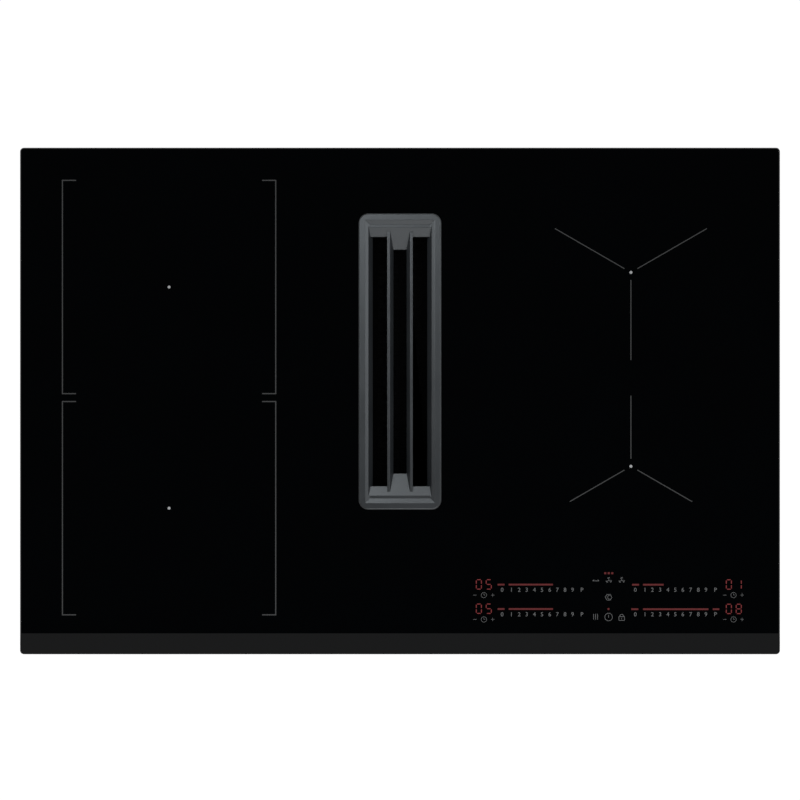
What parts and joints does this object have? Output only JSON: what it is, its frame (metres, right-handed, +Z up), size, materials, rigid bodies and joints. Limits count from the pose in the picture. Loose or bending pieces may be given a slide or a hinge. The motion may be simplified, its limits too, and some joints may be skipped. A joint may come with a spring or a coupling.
{
  "type": "downdraft induction cooktop",
  "caption": "Built-in black-glass induction cooktop with printed cooking zones, touch sliders and a central downdraft extractor grille, fan and rear duct outlet.",
  "frame": {"origin": "centre of the worktop cut-out, on the top face of the worktop, which is the underside of the worktop seal", "axes": "+X to the user's right, +Y to the rear wall, +Z up out of the worktop"},
  "size_m": [0.78, 0.52, 0.213],
  "materials": {
    "black_glass": "polished black glass ceramic",
    "white_print": "fired screen print",
    "seal_rubber": "matt sealing foam and rubber",
    "galvanised_sheet": "galvanised sheet, slight spangle",
    "plated_steel": "zinc-plated",
    "spring_steel": "bright spring steel",
    "black_housing": "fine-grained moulded plastic",
    "grey_fan_plastic": "smooth moulded plastic",
    "motor_enamel": "baked enamel",
    "laminated_iron": "stacked laminations, varnished",
    "coil_copper": "enamelled copper litz, satin",
    "white_moulding": "heat-resistant moulding",
    "ferrite": "sintered, matt",
    "mica": "pressed mica sheet",
    "plain_aluminium": "mill finish",
    "circuit_board": "solder-masked laminate",
    "capacitor_sleeve": "shrink sleeve",
    "choke_lacquer": "lacquered ring core",
    "display_lens": "smoked lens",
    "grey_terminal": "moulded terminal block",
    "activated_carbon": "granular, matt",
    "filter_mesh": "black-coated stamped mesh, satin",
    "black_cast_grille": "satin black coating on cast metal"
  },
  "bodies": {
    "hob": {"glass_top": "black_glass", "zone_marks": "white_print", "worktop_seal": "seal_rubber", "intake_seal": "seal_rubber", "window_seal": "seal_rubber", "motor_grommets": "seal_rubber", "glass_frame": "galvanised_sheet", "base_tray": "galvanised_sheet", "motor_plate": "galvanised_sheet", "case_screws": "plated_steel", "clip_rivets": "plated_steel", "scroll_screws": "plated_steel", "motor_bearings": "plated_steel", "retaining_clips": "spring_steel", "touch_springs": "spring_steel", "intake_box": "black_housing", "tray_runner": "black_housing", "inlet_nozzle": "black_housing", "plenum_base": "black_housing", "plenum_lid": "black_housing", "fan_scroll": "black_housing", "duct_spigot": "black_housing", "blower_frame_left": "black_housing", "blower_frame_right": "black_housing", "cable_gland": "black_housing", "motor_housing": "motor_enamel", "motor_stator": "laminated_iron", "winding_left_rear": "coil_copper", "winding_left_front": "coil_copper", "winding_right_rear": "coil_copper", "winding_right_front": "coil_copper", "coil_formers": "white_moulding", "ui_carrier": "white_moulding", "board_spacers": "white_moulding", "zone_sensors": "white_moulding", "ferrite_bars": "ferrite", "mica_sheets": "mica", "carrier_plates": "plain_aluminium", "carrier_posts": "plain_aluminium", "heat_sinks": "plain_aluminium", "power_boards": "circuit_board", "ui_board": "circuit_board", "board_capacitors": "capacitor_sleeve", "board_chokes": "choke_lacquer", "display_modules": "display_lens", "terminal_block": "grey_terminal"},
    "fan_rotor": {"fan_impeller": "grey_fan_plastic", "impeller_shroud": "grey_fan_plastic", "fan_shaft": "plated_steel", "motor_rotor": "laminated_iron", "impeller_nut": "plated_steel"},
    "blower_left": {"blower_rotor_left": "grey_fan_plastic"},
    "blower_right": {"blower_rotor_right": "grey_fan_plastic"},
    "filter": {"filter_cassette": "black_housing", "carbon_filter": "activated_carbon", "grease_filter": "filter_mesh"},
    "grille": {"grille": "black_cast_grille", "grille_pads": "seal_rubber"},
    "drip_tray": {"drip_tray": "black_housing"}
  },
  "joints": [
    {"name": "fan_spin", "type": "hinge", "parent": "hob", "child": "fan_rotor", "pos_m": [0.182, -0.0095, -0.1435], "axis": [0, 0, 1], "continuous": true},
    {"name": "blower_spin_left", "type": "hinge", "parent": "hob", "child": "blower_left", "pos_m": [-0.157, -0.168, -0.023], "axis": [0, 0, 1], "continuous": true},
    {"name": "blower_spin_right", "type": "hinge", "parent": "hob", "child": "blower_right", "pos_m": [0.157, -0.168, -0.023], "axis": [0, 0, 1], "continuous": true},
    {"name": "filter_lift", "type": "slide", "parent": "hob", "child": "filter", "axis": [0, 0, 1], "range_m": [0, 0.14]},
    {"name": "grille_lift", "type": "slide", "parent": "filter", "child": "grille", "axis": [0, 0, 1], "range_m": [0, 0.06]},
    {"name": "drip_tray_slide", "type": "slide", "parent": "hob", "child": "drip_tray", "axis": [0, -1, 0], "range_m": [0, 0.24]}
  ]
}
